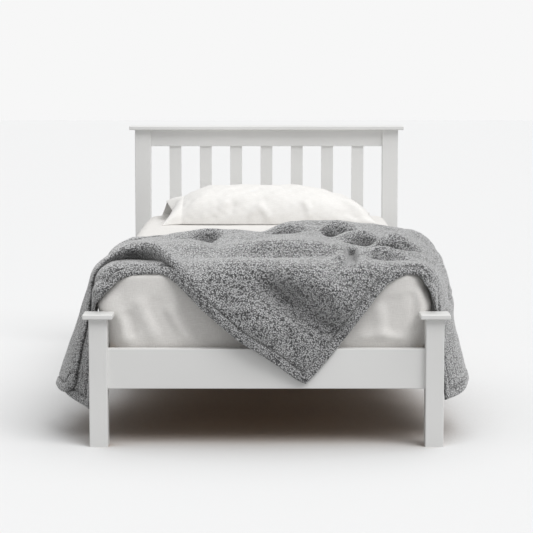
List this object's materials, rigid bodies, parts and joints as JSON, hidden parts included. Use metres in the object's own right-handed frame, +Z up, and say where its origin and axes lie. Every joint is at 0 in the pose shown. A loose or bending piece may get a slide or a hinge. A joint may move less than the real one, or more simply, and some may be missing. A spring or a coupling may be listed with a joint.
{
  "type": "single bed",
  "caption": "White slatted-headboard single bed on square posts, with slatted base, mattress, fitted sheet, pillow and a grey knitted throw.",
  "frame": {"origin": "middle of the whole object's footprint, on the floor that the four posts stand on", "axes": "+X to the right as seen from the foot end, +Y from the foot end towards the headboard, +Z up"},
  "size_m": [1.1882, 2.0516, 0.841],
  "materials": {
    "white_paint": "white satin paint on solid wood",
    "pine": "planed, unpainted",
    "beech": "fluted dowel, unpainted",
    "webbing": "woven tape",
    "zinc_steel": "zinc plated",
    "ticking": "woven cover",
    "sheet_linen": "off-white linen weave",
    "pillow_cotton": "plain woven cotton",
    "pillowcase_linen": "off-white soft weave",
    "grey_knit": "nubby mid-grey knit with light flecks"
  },
  "bodies": {
    "frame": {"head_post_left": "white_paint", "head_post_right": "white_paint", "headboard_cap": "white_paint", "headboard_top_rail": "white_paint", "headboard_bottom_rail": "white_paint", "headboard_slat_1": "white_paint", "headboard_slat_2": "white_paint", "headboard_slat_3": "white_paint", "headboard_slat_4": "white_paint", "headboard_slat_5": "white_paint", "headboard_slat_6": "white_paint", "headboard_slat_7": "white_paint", "foot_post_left": "white_paint", "foot_post_right": "white_paint", "foot_post_cap_left": "white_paint", "foot_post_cap_right": "white_paint", "foot_rail": "white_paint", "side_rail_left": "white_paint", "side_rail_right": "white_paint", "slat_ledger_left": "pine", "slat_ledger_right": "pine", "base_slat_01": "pine", "base_slat_02": "pine", "base_slat_03": "pine", "base_slat_04": "pine", "base_slat_05": "pine", "base_slat_06": "pine", "base_slat_07": "pine", "base_slat_08": "pine", "base_slat_09": "pine", "base_slat_10": "pine", "base_slat_11": "pine", "base_slat_12": "pine", "base_slat_13": "pine", "base_slat_14": "pine", "slat_tape_left": "webbing", "slat_tape_right": "webbing", "rail_studs": "zinc_steel", "half_moon_washers": "zinc_steel", "stud_nuts": "zinc_steel", "rail_dowels": "beech", "cap_dowels": "beech", "ledger_screws": "zinc_steel", "end_slat_screws": "zinc_steel"},
    "mattress": {"mattress": "ticking", "fitted_sheet": "sheet_linen"},
    "pillow": {"pillow": "pillow_cotton", "pillowcase": "pillowcase_linen"},
    "throw": {"throw_blanket": "grey_knit"}
  },
  "joints": [
    {"name": "mattress_lift", "type": "slide", "parent": "frame", "child": "mattress", "axis": [0, 0, 1], "range_m": [0, 0.15]},
    {"name": "pillow_lift", "type": "slide", "parent": "mattress", "child": "pillow", "axis": [0, 0, 1], "range_m": [0, 0.25]},
    {"name": "throw_lift", "type": "slide", "parent": "mattress", "child": "throw", "axis": [0, 0, 1], "range_m": [0, 0.45]}
  ]
}
